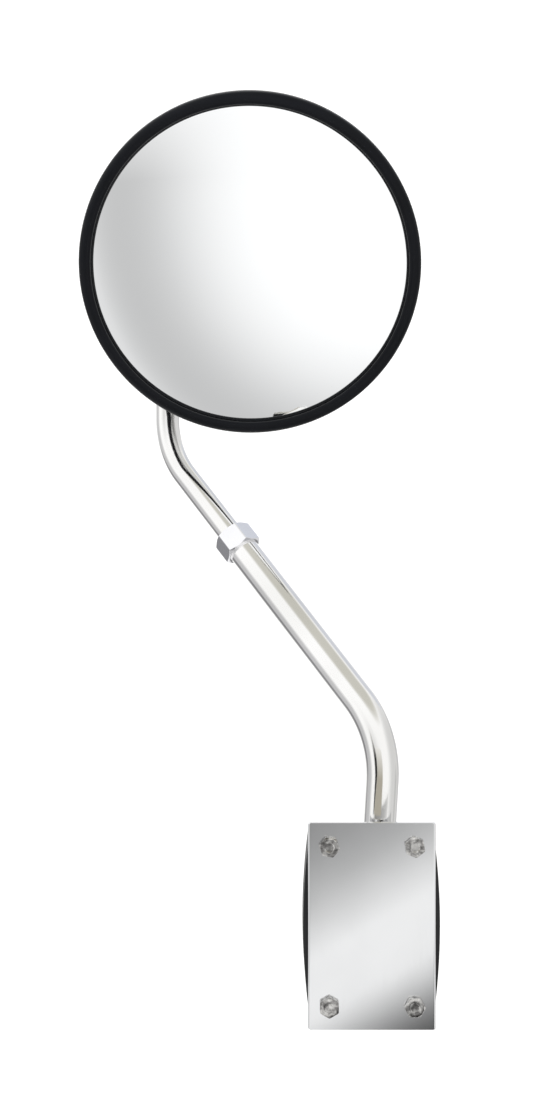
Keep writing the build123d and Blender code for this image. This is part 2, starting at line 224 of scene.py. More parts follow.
BRASS = metal("brass", (0.66, 0.48, 0.22), (0.74, 0.57, 0.29), 0.20, 0.34, 700.0, bump=0.05)
RUBBER = dull("black_rubber", (0.0025, 0.003, 0.004), (0.0045, 0.005, 0.007), 0.32, 0.44, 0.10, 2600.0, 0.10)
PLASTIC = dull("black_plastic", (0.006, 0.006, 0.007), (0.011, 0.011, 0.012), 0.42, 0.60, 0.30, 1500.0, 0.22)
SEAT = dull("seat_plastic", (0.62, 0.61, 0.55), (0.70, 0.69, 0.63), 0.40, 0.55, 0.45, 1500.0, 0.10)
BOARD = dull("brown_board", (0.16, 0.10, 0.06), (0.24, 0.16, 0.10), 0.75, 0.90, 0.20, 1200.0, 0.40)


def mirror_material():
    """Silvered lens: a near-perfect reflector with a faint cool tint and dust."""
    material, tree, shader = new_material("mirror_lens")
    shader.inputs["Metallic"].default_value = 1.0
    slow = object_noise(tree, 9.0, 3.0)
    fine = object_noise(tree, 380.0, 6.0)
    share = ranged(tree, slow, 0.0, 1.0, 0.3, 0.7)
    colour = tinted(tree, share, (0.925, 0.935, 0.94), (0.945, 0.952, 0.955))
    tree.links.new(colour, shader.inputs["Base Color"])
    tree.links.new(ranged(tree, fine, 0.012, 0.035, 0.45, 0.75), shader.inputs["Roughness"])
    return material


MIRROR = mirror_material()


# ---------------------------------------------------------------- mesh tools

def finish_piece(name, work, material, body, nodes, sharp=32.0, weighted=True):
    """Turns a bmesh in millimetres into a piece that rides on a body."""
    bmesh.ops.remove_doubles(work, verts=work.verts, dist=0.0005)
    bmesh.ops.recalc_face_normals(work, faces=work.faces)
    for face in work.faces:
        face.smooth = True
    limit = math.radians(sharp)
    for edge in work.edges:
        if len(edge.link_faces) == 2 and edge.calc_face_angle(0.0) > limit:
            edge.smooth = False
    work.transform(Matrix.Scale(MM, 4))
    mesh = bpy.data.meshes.new(name)
    work.to_mesh(mesh)
    work.free()
    mesh.materials.append(material)
    piece = bpy.data.objects.new(name, mesh)
    bpy.context.scene.collection.objects.link(piece)
    if weighted:
        modifier = piece.modifiers.new("weighted_normals", "WEIGHTED_NORMAL")
        modifier.keep_sharp = True
    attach(piece, body)
    if nodes:
        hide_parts(*nodes)
    return piece


def rings_to_faces(work, rings, closed_ends=True, loop=False):
    """Joins rings of points into a skin; closes the ends or loops back."""
    made = [[work.verts.new(point) for point in ring] for ring in rings]
    pairs = list(zip(made, made[1:]))
    if loop:
        pairs.append((made[-1], made[0]))
    for first, second in pairs:
        count = len(first)
        for index in range(count):
            after = (index + 1) % count
            work.faces.new((first[index], first[after], second[after], second[index]))
    if closed_ends and not loop:
        work.faces.new(list(reversed(made[0])))
        work.faces.new(made[-1])


def corner_arc(before, corner, after, radius, steps=5):
    """Points of a rounded corner in a half section."""
    before, corner, after = Vector(before), Vector(corner), Vector(after)
    toward_before = (before - corner).normalized()
    toward_after = (after - corner).normalized()
    half = toward_before.angle(toward_after) / 2
    reach = radius / math.tan(half)
    centre = corner + (toward_before + toward_after).normalized() * (radius / math.sin(half))
    start = corner + toward_before * reach - centre
    end = corner + toward_after * reach - centre
    sweep = start.angle(end)
    points = []
    for step in range(steps + 1):
        part = step / steps
        mixed = start * math.sin((1 - part) * sweep) + end * math.sin(part * sweep)
        points.append(tuple(centre + mixed / math.sin(sweep)))
    return points


def rounded(corners, radii, steps=5):
    """A closed half section with each corner rounded by its own radius."""
    points = []
    count = len(corners)
    for index, (corner, radius) in enumerate(zip(corners, radii)):
        if radius:
            points += corner_arc(corners[index - 1], corner, corners[(index + 1) % count], radius, steps)
        else:
            points.append(tuple(corner))
    return points


def lathe(work, section, place, segments=SEGMENTS):
    """Revolves a closed half section (radius, station) about the local Y axis."""
    rings = []
    for radius, station in section:
        ring = []
        for index in range(segments):
            angle = math.tau * index / segments
            ring.append(place @ Vector((radius * math.cos(angle), station, radius * math.sin(angle))))
        rings.append(ring)
    rings_to_faces(work, rings, loop=True)


def hex_radius(angle, flats):
    """Distance from the axis to a hexagon's side, a flat being square to angle 0."""
    turned = (angle + math.pi / 6) % (math.pi / 3) - math.pi / 6
    return flats / 2 / math.cos(turned)


def hex_bar(work, flats, start, end, bore, place, turn=0.0, crown_end=True, segments=120):
    """A hexagon bar or nut along local Y with turned-off corners, crisp but not razor sharp."""
    land = flats / 2 * 0.955
    corner = flats / math.sqrt(3)
    tilt = math.tan(math.radians(28))
    soft = 0.14

    def side(angle):
        """The hexagon's radius with its corners slightly rounded."""
        return min(hex_radius(angle, flats), corner - 0.16)

    def level(radius):
        """How far the crown has dropped at this radius."""
        return max(0.0, radius - land) * tilt

    angles = [math.tau * index / segments for index in range(segments)]

    def ring(radius_of, station_of):
        """A ring whose radius and station follow the angle."""
        points = []
        for angle in angles:
            x = radius_of(angle) * math.cos(angle + turn)
            z = radius_of(angle) * math.sin(angle + turn)
            points.append(place @ Vector((x, station_of(angle), z)))
        return points

    def half(sign, edge, crowned):
        """Rings from the bore's mouth to the top of the flat, on one side."""
        drop = level if crowned else (lambda radius: 0.0)
        return [
            ring(lambda a: bore, lambda a: edge + sign * 0.5),
            ring(lambda a: bore + 0.08, lambda a: edge + sign * 0.12),
            ring(lambda a: bore + 0.35, lambda a: edge),
            ring(lambda a: land - 0.15, lambda a: edge),
            ring(lambda a: land + 0.1, lambda a: edge + sign * drop(land + 0.2)),
            ring(lambda a: (land + side(a)) / 2, lambda a: edge + sign * drop((land + side(a)) / 2)),
            ring(lambda a: side(a) - soft, lambda a: edge + sign * drop(side(a) - soft)),
            ring(lambda a: side(a) - soft * 0.3, lambda a: edge + sign * (drop(side(a)) + soft * 0.35)),
            ring(side, lambda a: edge + sign * (drop(side(a)) + soft)),
        ]

    rings = half(1, start, True) + list(reversed(half(-1, end, crown_end)))
    rings_to_faces(work, rings, loop=True)


def frame_at(origin, along, toward):
    """A local frame whose Y axis points along and whose X axis leans toward."""
    y_axis = along.normalized()
    x_axis = (toward - y_axis * toward.dot(y_axis)).normalized()
    z_axis = x_axis.cross(y_axis)
    matrix = Matrix((x_axis, y_axis, z_axis)).transposed().to_4x4()
    matrix.translation = origin
    return matrix


def bent_path(start, corner, end, bend, arc_steps=64, gap=6.0):
    """Centre points of two straight runs joined by an arc."""
    incoming = (corner - start).normalized()
    outgoing = (end - corner).normalized()
    turn = incoming.angle(outgoing)
    reach = bend * math.tan(turn / 2)
    first = corner - incoming * reach
    last = corner + outgoing * reach
    centre = first + (outgoing - incoming * outgoing.dot(incoming)).normalized() * bend
    points = []
    length = (first - start).length
    steps = max(2, int(length / gap))
    points += [start + incoming * (length * step / steps) for step in range(steps)]
    normal = incoming.cross(outgoing).normalized()
    spoke = first - centre
    for step in range(arc_steps):
        points.append(centre + Matrix.Rotation(turn * step / arc_steps, 3, normal) @ spoke)
    length = (end - last).length
    steps = max(2, int(length / gap))
    points += [last + outgoing * (length * step / steps) for step in range(steps + 1)]
    return points, normal


def ring_round(point, along, side, radius, segments):
    """A round ring of points square to a direction."""
    other = along.cross(side).normalized()
    points = []
    for index in range(segments):
        angle = math.tau * index / segments
        points.append(point + side * (math.cos(angle) * radius) + other * (math.sin(angle) * radius))
    return points


def tube_rings(points, radius, normal):
    """Rings along a path that bends in one plane."""
    rings = []
    for index, point in enumerate(points):
        before = points[max(0, index - 1)]
        after = points[min(len(points) - 1, index + 1)]
        along = (after - before).normalized()
        rings.append(ring_round(point, along, normal, radius, SEGMENTS))
    return rings


def squashed_ring(centre, height, angles, wide, deep, power):
    """A level ring between a circle (power 2) and a rectangle (high power)."""
    ring = []
    for angle in angles:
        c = math.cos(angle)
        s = math.sin(angle)
        x = math.copysign(abs(c) ** (2 / power), c) * wide
        y = math.copysign(abs(s) ** (2 / power), s) * deep
        ring.append(Vector((centre.x + x, centre.y + y, height)))
    return ring


def carve(piece, tool, name):
    """Cuts a tool, drawn in millimetres, out of a piece."""
    bmesh.ops.remove_doubles(tool, verts=tool.verts, dist=0.0005)
    bmesh.ops.recalc_face_normals(tool, faces=tool.faces)
    tool.transform(Matrix.Scale(MM, 4))
    mesh = bpy.data.meshes.new(name)
    tool.to_mesh(mesh)
    tool.free()
    cutter = bpy.data.objects.new(name, mesh)
    bpy.context.scene.collection.objects.link(cutter)
    modifier = piece.modifiers.new("cut", "BOOLEAN")
    modifier.object = cutter
    modifier.operation = "DIFFERENCE"
    modifier.solver = "EXACT"
    bpy.context.view_layer.update()
    graph = bpy.context.evaluated_depsgraph_get()
    cut = bpy.data.meshes.new_from_object(piece.evaluated_get(graph))
    piece.modifiers.clear()
    piece.data = cut
    bpy.data.objects.remove(cutter)


# ---------------------------------------------------------------- the arm

def lower_tube():
    """Bent lower tube: wall, rolled lip, thread rings at the top."""
    start = LEG_FOOT + LEG * (LEG_BOTTOM_Z / LEG.z)
    station = LOWER_END - THREAD_LENGTH
    end = LOWER_CORNER + DIAGONAL * station
    points, normal = bent_path(start, LOWER_CORNER, end, LOWER_BEND)
    rings = tube_rings(points, LOWER_RADIUS, normal)
    crest = THREAD_RADIUS
    root = THREAD_RADIUS - 0.28
    thread = [(0.25, crest + 0.4), (0.5, crest)]
    position = 1.4
    while position < THREAD_LENGTH - 1.0:
        thread += [(position, crest), (position + 0.25, root)]
        thread += [(position + 0.6, root), (position + 0.85, crest)]
        position += 1.5
    thread += [(THREAD_LENGTH - 0.3, crest), (THREAD_LENGTH, root)]
    thread += [(THREAD_LENGTH, LOWER_BORE + 0.12), (THREAD_LENGTH - 0.2, LOWER_BORE)]
    for offset, radius in thread:
        centre = LOWER_CORNER + DIAGONAL * (station + offset)
        rings.append(ring_round(centre, DIAGONAL, normal, radius, SEGMENTS))
    rings += reversed(tube_rings(points, LOWER_BORE, normal))
    work = bmesh.new()
    rings_to_faces(work, rings, loop=True)
    finish_piece("arm_lower_tube", work, POLISHED, "lower_arm", ["lower_tube"],
                 weighted=False)


def upper_tube():
    """Bent upper tube whose top is pressed into a tab."""
    flat_from = BALL_CENTRE.z - TAB_BELOW_STUD
    round_to = flat_from - TAB_TRANSITION
    start = LOWER_CORNER + DIAGONAL * UPPER_START
    top = Vector((UPPER_CORNER.x, UPPER_CORNER.y, round_to))
    points, normal = bent_path(start, UPPER_CORNER, top, UPPER_BEND)
    rings = tube_rings(points, UPPER_RADIUS, normal)
    # The pressed part goes on with the angles of the round part's last ring.
    angles = [math.atan2(point.y - top.y, point.x - top.x) for point in rings[-1]]
    for step in range(1, 25):
        part = step / 24
        ease = part * part * (3 - 2 * part)
        wide = UPPER_RADIUS + (TAB_HALF_WIDTH - UPPER_RADIUS) * ease
        deep = UPPER_RADIUS + (TAB_THICK / 2 - UPPER_RADIUS) * ease
        height = round_to + TAB_TRANSITION * part
        rings.append(squashed_ring(top, height, angles, wide, deep, 2.0 + 3.0 * ease))
    for step in range(1, 4):
        height = flat_from + TAB_BELOW_STUD * step / 3
        rings.append(squashed_ring(top, height, angles, TAB_HALF_WIDTH, TAB_THICK / 2, 5.0))
    # The tab's end is round: its width shrinks as a half circle above the stud.
    for step in range(1, 16):
        turn = step / 15 * math.pi / 2 * 0.985
        height = BALL_CENTRE.z + TAB_HALF_WIDTH * math.sin(turn)
        wide = TAB_HALF_WIDTH * math.cos(turn)
        rings.append(squashed_ring(top, height, angles, wide, TAB_THICK / 2, 5.0))
    inner = tube_rings(points, UPPER_BORE, normal)
    mouth = ring_round(points[0], (points[1] - points[0]).normalized(), normal, UPPER_BORE, SEGMENTS)
    work = bmesh.new()
    rings_to_faces(work, [mouth] + rings, closed_ends=False)
    rings_to_faces(work, inner, closed_ends=False)
    for ring in (rings[-1], inner[-1]):
        work.faces.new([work.verts.new(point) for point in ring])
    finish_piece("arm_upper_tube", work, POLISHED, "upper_arm", ["upper_tube"],
                 weighted=False)


def compression_nut():
    """Hexagon nut with crowned corners and an open bore."""
    work = bmesh.new()
    place = frame_at(LOWER_CORNER + DIAGONAL * NUT_START, DIAGONAL, Vector((0, -1, 0)))
    hex_bar(work, NUT_FLATS, 0.0, NUT_LENGTH, NUT_LIP_BORE, place)
    finish_piece("arm_compression_nut", work, NUT_METAL, "gland_nut",
                 ["compression_nut"], 24.0)


# ---------------------------------------------------------------- the base

def rounded_rectangle(half_width, half_height, radius, steps):
    """Outline of a rectangle with round corners, in X and Z."""
    points = []
    for quadrant, (x, z) in enumerate(((1, 1), (-1, 1), (-1, -1), (1, -1))):
        for step in range(steps + 1):
            angle = math.pi / 2 * (quadrant + step / steps)
            points.append((x * (half_width - radius) + radius * math.cos(angle),
                           z * (half_height - radius) + radius * math.sin(angle)))
    return points


def plate():
    """Polished plate with soft long edges and small corner radii."""
    work = bmesh.new()
    half_width = PLATE_WIDTH / 2
    half_height = PLATE_HEIGHT / 2
    back = PLATE_FRONT + PLATE_THICK
    layers = []
    rounding = 1.3
    for step in range(9):
        angle = math.pi / 2 * step / 8
        layers.append((rounding * (1 - math.sin(angle)), PLATE_FRONT + rounding * (1 - math.cos(angle))))
    layers.append((0.0, back - 0.25))
    layers.append((0.08, back - 0.08))
    layers.append((0.25, back))
    rings = []
    for inset, station in layers:
        end_inset = min(inset, 0.35)
        corner = 1.5 - min(inset, 1.2) * 0.7
        outline = rounded_rectangle(half_width - inset, half_height - end_inset, corner, 6)
        rings.append([Vector((x, station, z)) for x, z in outline])
    support = rounded_rectangle(half_width - rounding - 0.5, half_height - 0.9, 0.6, 6)
    rings.insert(0, [Vector((x, PLATE_FRONT, z)) for x, z in support])
    rings_to_faces(work, rings)
    finish_piece("base_plate_polished", work, PLATE, "base", ["base_plate"])


def barrel_outline(inset):
    """Outline of the clamp blocks: straight ends, bowed sides, round corners."""
    sag = BLOCK_MID_HALF - BLOCK_END_HALF
    bow = (BLOCK_HALF_HEIGHT ** 2 + sag ** 2) / (2 * sag)
    level = BLOCK_HALF_HEIGHT - inset - BLOCK_CORNER

    def side(z):
        """Half the width at a height."""
        return BLOCK_MID_HALF - bow + math.sqrt(bow * bow - z * z) - inset

    right = []
    for step in range(41):
        z = -level + 2 * level * step / 40
        right.append((side(z), z))
    corner = side(level) - BLOCK_CORNER
    arc = []
    for step in range(1, 6):
        angle = math.pi / 2 * step / 5
        arc.append((corner + BLOCK_CORNER * math.cos(angle), level + BLOCK_CORNER * math.sin(angle)))
    half = [(x, -z) for x, z in reversed(arc)] + right + arc
    return half + [(-x, z) for x, z in reversed(half)]


def clamp_half(name, front, back, node):
    """One moulded half of the clamp, with softened edges and the tube's groove."""
    work = bmesh.new()
    soft = 0.8
    layers = []
    for step in range(5):
        angle = math.pi / 2 * step / 4
        layers.append((soft * (1 - math.sin(angle)), front + soft * (1 - math.cos(angle))))
    for step in range(5):
        angle = math.pi / 2 * step / 4
        layers.append((soft * (1 - math.cos(angle)), back - soft * (1 - math.sin(angle))))
    rings = []
    for inset, station in layers:
        rings.append([Vector((x, station, z)) for x, z in barrel_outline(inset)])
    rings_to_faces(work, rings)
    piece = finish_piece(name, work, PLASTIC, "base", [node])
    tool = bmesh.new()
    groove = []
    for level in (-52.0, 70.0):
        centre = LEG_FOOT + LEG * (level / LEG.z)
        groove.append(ring_round(centre, LEG, Vector((0, 1, 0)), LOWER_RADIUS + RUNNING_FIT, 96))
    rings_to_faces(tool, groove)
    carve(piece, tool, name + "_groove_tool")


def thread_turn(crest, root, station):
    """Half section of one thread ring, from a station on."""
    return [(crest, station), (root, station + 0.45), (root, station + 0.6), (crest, station + 1.05)]


def base_bolts():
    """Four hexagon screws: washer face, crowned head with a dished centre, shank and thread."""
    work = bmesh.new()
    turns = (0.35, 0.12, 0.0, 0.52)
    places = [(-BOLT_X, BOLT_Z), (BOLT_X, BOLT_Z), (-BOLT_X, -BOLT_Z), (BOLT_X, -BOLT_Z)]
    top = PLATE_FRONT - BOLT_HEAD_HEIGHT
    face = PLATE_FRONT - BOLT_WASHER_FACE
    dish = [(ON_AXIS, top + 0.55), (1.5, top + 0.5), (2.5, top + 0.42), (3.0, top + 0.1), (3.12, top + 0.6),
            (3.05, face - 0.2), (ON_AXIS, face - 0.2)]
    flange = [(ON_AXIS, face), (5.3, face), (5.3, PLATE_FRONT), (ON_AXIS, PLATE_FRONT)]
    shank = [(ON_AXIS, face), (BOLT_RADIUS, face)]
    station = -0.5
    while station < BOLT_STANDOUT - 1.4:
        shank += thread_turn(BOLT_RADIUS, BOLT_RADIUS - 0.425, station)
        station += THREAD_STEP
    shank += [(BOLT_RADIUS, BOLT_STANDOUT - 0.8), (2.5, BOLT_STANDOUT), (ON_AXIS, BOLT_STANDOUT)]
    for (x, z), turn in zip(places, turns):
        place = Matrix.Translation((x, 0, z))
        hex_bar(work, BOLT_HEAD_FLATS, top, face, 3.0, place, turn, crown_end=False)
        lathe(work, dish, place, 64)
        lathe(work, rounded(flange, (0, 0.12, 0.05, 0), 3), place, 64)
        lathe(work, shank, place, 48)
    finish_piece("base_hex_bolts", work, SCREW, "base", ["base_bolts"], 24.0)


# ---------------------------------------------------------------- the head

HEAD_PLACE = Matrix.Translation(HEAD_CENTRE) @ Matrix.Rotation(HEAD_PITCH, 4, "X")
SOCKET_PLACE = HEAD_PLACE @ Matrix.Translation((BALL_OFFSET, BALL_DEPTH, 0))
STUD_PLACE = Matrix.Translation(BALL_CENTRE)


def mirror_glass():
    """Convex silvered lens."""
    rise = LENS_FRONT_CURVE - math.sqrt(LENS_FRONT_CURVE ** 2 - VISIBLE_RADIUS ** 2)
    centre = LENS_FRONT_CURVE - rise

    def curved(curve, steps):
        """Half section of a sphere, from the axis to the lens's edge."""
        points = []
        for step in range(steps + 1):
            radius = max(ON_AXIS, (LENS_RADIUS - 0.1) * step / steps)
            points.append((radius, centre - math.sqrt(curve ** 2 - radius ** 2)))
        return points

    front = curved(LENS_FRONT_CURVE, 80)
    edge = [(LENS_RADIUS, front[-1][1] + 0.15), (LENS_RADIUS, 3.5)]
    work = bmesh.new()
    lathe(work, front + edge + curved(LENS_BACK_CURVE, 40)[::-1], HEAD_PLACE, HEAD_SEGMENTS)
    finish_piece("head_mirror_lens", work, MIRROR, "head", ["mirror_glass"], weighted=False)


def rim_ring():
    """Rubber ring with a rounded bead in front and a lip behind."""
    seat = -0.1
    groove_back = 6.3
    groove_radius = 104.2
    lip_radius = 102.2
    corners = [(VISIBLE_RADIUS, seat), (VISIBLE_RADIUS, RIM_FRONT), (RIM_RADIUS, RIM_FRONT)]
    corners += [(RIM_RADIUS, RIM_BACK), (lip_radius, RIM_BACK), (lip_radius, groove_back)]
    corners += [(groove_radius, groove_back), (groove_radius, seat)]
    radii = [0.5, 2.4, 5.2, 3.2, 0.8, 0.3, 0, 0]
    work = bmesh.new()
    lathe(work, rounded(corners, radii, 12), HEAD_PLACE, HEAD_SEGMENTS)
    finish_piece("head_rim_ring", work, RUBBER, "head", ["rim_gasket"])


def pan():
    """Spun stainless pan with a turned-out flange, a conical wall and the socket's opening."""
    flange_back = FLANGE_FRONT + PAN_THICK
    inside = PAN_BACK - PAN_THICK
    run = (PAN_WALL_RADIUS - PAN_FLAT_RADIUS) / (PAN_BACK - flange_back)
    shift = PAN_THICK * math.sqrt(1 + run * run)

    def wall(station, inset):
        """Radius of the wall at a station."""
        return PAN_FLAT_RADIUS + (PAN_BACK - station) * run - inset

    section = [(FLANGE_RADIUS, FLANGE_FRONT), (FLANGE_RADIUS, flange_back)]
    section += [(wall(flange_back, 0), flange_back), (PAN_FLAT_RADIUS, PAN_BACK)]
    section += [(ON_AXIS, PAN_BACK), (ON_AXIS, inside), (wall(inside, shift), inside)]
    section.append((wall(FLANGE_FRONT, shift), FLANGE_FRONT))
    radii = [0, 0.3, 0.6, 8.0, 0, 0, 7.0, 0]
    work = bmesh.new()
    lathe(work, rounded(section, radii, 14), HEAD_PLACE, HEAD_SEGMENTS)
    piece = finish_piece("head_pan", work, PAN, "head", ["head_shell"], weighted=False)
    tool = bmesh.new()
    lathe(tool, [(ON_AXIS, 8.0), (11.0, 8.0), (11.0, 16.0), (ON_AXIS, 16.0)], SOCKET_PLACE, 96)
    carve(piece, tool, "pan_opening_tool")


def rivets():
    """Four domed rivets."""
    section = [(ON_AXIS, 14.4)]
    for step in range(1, 11):
        angle = math.pi / 2 * step / 10
        section.append((3.6 * math.sin(angle), 13.0 + 1.4 * math.cos(angle)))
    section += [(2.0, 13.0), (2.0, 10.4), (3.2, 10.4), (3.2, 9.6), (3.0, 9.4), (ON_AXIS, 9.4)]
    work = bmesh.new()
    for turn in range(4):
        around = Matrix.Rotation(math.radians(45 + 90 * turn), 4, "Y")
        place = SOCKET_PLACE @ around @ Matrix.Translation((RIVET_CIRCLE, 0, 0))
        lathe(work, section, place, 48)
    finish_piece("head_rivets", work, FASTENER, "head", ["socket_rivets"])


def ball_stud():
    """Ball, necked shank, hexagon collar and threaded end."""
    section = []
    for step in range(41):
        angle = math.radians(153.4) * step / 40
        section.append((max(ON_AXIS, BALL_RADIUS * math.sin(angle)), -BALL_RADIUS * math.cos(angle)))
    collar_end = TAB_FRONT - WASHER_THICK
    tip = TAB_FRONT + TAB_THICK + WASHER_THICK + LOCK_WASHER_THICK + STUD_NUT_HEIGHT + 2.5
    section += [(NECK_RADIUS, BALL_RADIUS), (NECK_RADIUS, COLLAR_FRONT - 0.8), (5.2, COLLAR_FRONT + 0.2)]
    section += [(5.2, collar_end - 0.2), (STUD_RADIUS, collar_end - 0.1)]
    station = collar_end
    while station < tip - 1.6:
        section += thread_turn(STUD_RADIUS, STUD_RADIUS - 0.42, station)
        station += THREAD_STEP
    section += [(STUD_RADIUS, tip - 0.7), (3.3, tip), (ON_AXIS, tip)]
    work = bmesh.new()
    lathe(work, section, STUD_PLACE, 64)
    hex_bar(work, STUD_FLATS, COLLAR_FRONT, collar_end, 5.0, STUD_PLACE, math.radians(30))
    finish_piece("joint_ball_stud", work, ZINC, "stud", ["ball_stud"], 24.0)


def stud_hardware():
    """Flat washers on both sides of the tab, and the nut behind the lock washer."""
    back = TAB_FRONT + TAB_THICK
    clear = 0.01
    bore = STUD_RADIUS + 0.2
    work = bmesh.new()
    for start in (TAB_FRONT - WASHER_THICK, back + clear):
        end = start + WASHER_THICK - clear
        corners = [(bore, start), (WASHER_RADIUS, start), (WASHER_RADIUS, end), (bore, end)]
        lathe(work, rounded(corners, (0.1, 0.35, 0.35, 0.1), 4), STUD_PLACE, 96)
    finish_piece("joint_washers", work, FASTENER, "stud", ["stud_washers"])
    start = back + WASHER_THICK + LOCK_WASHER_THICK
    work = bmesh.new()
    end = start + STUD_NUT_HEIGHT
    hex_bar(work, STUD_FLATS, start, end, STUD_RADIUS + 0.05, STUD_PLACE, math.radians(12))
    finish_piece("joint_stud_nut", work, FASTENER, "stud", ["stud_nut"], 24.0)


def dress_cad_nodes():
    """CAD nodes that are shown as they are, with real materials."""
    looks = {
        "base_gasket": RUBBER,
        "tube_end_plug": PLASTIC,
        "compression_ferrule": BRASS,
        "guide_plug": SEAT,
        "stud_lock_washer": FASTENER,
        "ball_seat": SEAT,
        "socket_housing": ZINC,
        "seat_spring": ZINC,
        "socket_cap": ZINC,
        "backing_board": BOARD,
    }
    for name, material in looks.items():
        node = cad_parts[name]
        for index in range(len(node.material_slots)):
            node.material_slots[index].link = "OBJECT"
            node.material_slots[index].material = material


lower_tube()
upper_tube()
compression_nut()
plate()
clamp_half("base_clamp_front", PLATE_FRONT + PLATE_THICK, LEG_Y - BLOCK_HALF_GAP, "clamp_block_front")
clamp_half("base_clamp_rear", LEG_Y + BLOCK_HALF_GAP, -GASKET_THICK, "clamp_block_rear")
base_bolts()
mirror_glass()
rim_ring()
pan()
rivets()
ball_stud()
stud_hardware()
dress_cad_nodes()


# ---------------------------------------------------------------- studio

def studio_material(name, colour, glow):
    """Plain white paper for the floor and the wall."""
    material, tree, shader = new_material(name)
    grain = object_noise(tree, 4.0, 2.0)
    paper = tinted(tree, grain, colour, tuple(min(1.0, value + 0.01) for value in colour))
    tree.links.new(paper, shader.inputs["Base Color"])
    shader.inputs["Roughness"].default_value = 0.95
    shader.inputs["Specular IOR Level"].default_value = 0.1
    shader.inputs["Emission Color"].default_value = (1.0, 1.0, 1.0, 1.0)
    shader.inputs["Emission Strength"].default_value = glow
    return material


def sweep_backdrop():
    """Floor and wall in one seamless sheet."""
    work = bmesh.new()
    half = 7.0
    floor = -0.42
    curve_start = 3.2
    curve = 0.9
    profile = [(-5.0, floor), (curve_start, floor)]
    for step in range(1, 17):
        angle = math.pi / 2 * step / 16
        profile.append((curve_start + curve * math.sin(angle), floor + curve * (1 - math.cos(angle))))
    profile.append((curve_start + curve, 6.0))
    rows = [[work.verts.new((x, y, z)) for x in (-half, half)] for y, z in profile]
    for low, high in zip(rows, rows[1:]):
        face = work.faces.new((low[0], low[1], high[1], high[0]))
        face.smooth = True
    mesh = bpy.data.meshes.new("studio_sweep")
    work.to_mesh(mesh)
    work.free()
    mesh.materials.append(studio_material("studio_paper", (0.88, 0.88, 0.88), 0.22))
    sweep = bpy.data.objects.new("studio_sweep", mesh)
    bpy.context.scene.collection.objects.link(sweep)
    sweep.visible_glossy = False


def show_only_nearby(tree, shader):
    """Makes a card clear to reflections that travel further than the card's reach."""
    path = tree.nodes.new("ShaderNodeLightPath")
    far = add(tree, "ShaderNodeMath", operation="GREATER_THAN")
    far.inputs[1].default_value = CARD_REACH
    clear = tree.nodes.new("ShaderNodeBsdfTransparent")
    mix = tree.nodes.new("ShaderNodeMixShader")
    tree.links.new(path.outputs["Ray Length"], far.inputs[0])
    tree.links.new(far.outputs["Value"], mix.inputs[0])
    tree.links.new(shader.outputs["BSDF"], mix.inputs[1])
    tree.links.new(clear.outputs["BSDF"], mix.inputs[2])
    tree.links.new(mix.outputs["Shader"], tree.nodes["Material Output"].inputs["Surface"])


def card_sheet(name, outline, station):
    """An upright glowing card facing the object, which only reflections can see: it paints a reflection and
    casts no diffuse light or shadow.
    """
    work = bmesh.new()
    work.faces.new([work.verts.new((x, station, z)) for x, z in outline])
    mesh = bpy.data.meshes.new(name)
    work.to_mesh(mesh)
    work.free()
    material, tree, shader = new_material(name + "_glow")
    shader.inputs["Base Color"].default_value = (0, 0, 0, 1)
    shader.inputs["Specular IOR Level"].default_value = 0.0
    shader.inputs["Roughness"].default_value = 1.0
    # The card's glow is the painted reflection that nearby polished metal shows.
    shader.inputs["Emission Strength"].default_value = 1.0
    show_only_nearby(tree, shader)
    mesh.materials.append(material)
    card = bpy.data.objects.new(name, mesh)
    bpy.context.scene.collection.objects.link(card)
    card.visible_camera = False
    card.visible_diffuse = False
    card.visible_shadow = False
    return tree, shader


def ramp_of(tree, value, stops):
    """A smooth grey ramp through (position, brightness) stops."""
    ramp = tree.nodes.new("ShaderNodeValToRGB")
    ramp.color_ramp.interpolation = "B_SPLINE"
    elements = ramp.color_ramp.elements
    while len(elements) < len(stops):
        elements.new(0.5)
    for element, (position, brightness) in zip(elements, stops):
        element.position = position
        element.color = (brightness, brightness, brightness, 1.0)
    tree.links.new(value, ramp.inputs["Fac"])
    return ramp.outputs["Color"]


def plate_reflection_card():
    """Glowing graded card in front of the plate that only the plate's reflection shows: a painted reflection,
    darker towards two opposite corners.
    """
    outline = [(-0.075, 0.059), (0.085, 0.059), (0.085, -0.125), (-0.075, -0.125)]
    tree, shader = card_sheet("plate_reflection_card", outline, -0.105)
    coordinates = tree.nodes.new("ShaderNodeTexCoord")
    along = add(tree, "ShaderNodeVectorMath", operation="DOT_PRODUCT")
    along.inputs[1].default_value = (0.5, 0.0, -0.87)
    tree.links.new(coordinates.outputs["Object"], along.inputs[0])
    place = ranged(tree, along.outputs["Value"], 0.0, 1.0, -0.10, 0.12)
    # Brightness stops of the painted reflection along the card's diagonal.
    stops = [(0.0, 0.29), (0.17, 0.30), (0.355, 0.54), (0.50, 0.96)]
    stops += [(0.60, 1.22), (0.70, 0.96), (0.79, 0.38), (0.88, 0.06)]
    tree.links.new(ramp_of(tree, place, stops), shader.inputs["Emission Color"])


def strip_card(name, outline, station, colour):
    """Glowing coloured strip beside the leg of the lower tube, which only the tube's reflection shows: a
    painted reflection band, paler towards its top.
    """
    tree, shader = card_sheet(name, outline, station)
    coordinates = tree.nodes.new("ShaderNodeTexCoord")
    height = tree.nodes.new("ShaderNodeSeparateXYZ")
    tree.links.new(coordinates.outputs["Object"], height.inputs["Vector"])
    top = max(z for x, z in outline)
    # The painted reflection fades to pale towards the strip's top.
    fade = ranged(tree, height.outputs["Z"], 0.0, 1.0, top - 0.028, top)
    tree.links.new(tinted(tree, fade, colour, (0.94, 0.93, 0.90)), shader.inputs["Emission Color"])


def direction(azimuth, elevation):
    """Unit vector: azimuth from -Y towards +X, elevation above the horizon, in degrees."""
    a, e = math.radians(azimuth), math.radians(elevation)
    return Vector((math.sin(a) * math.cos(e), -math.cos(a) * math.cos(e), math.sin(e)))


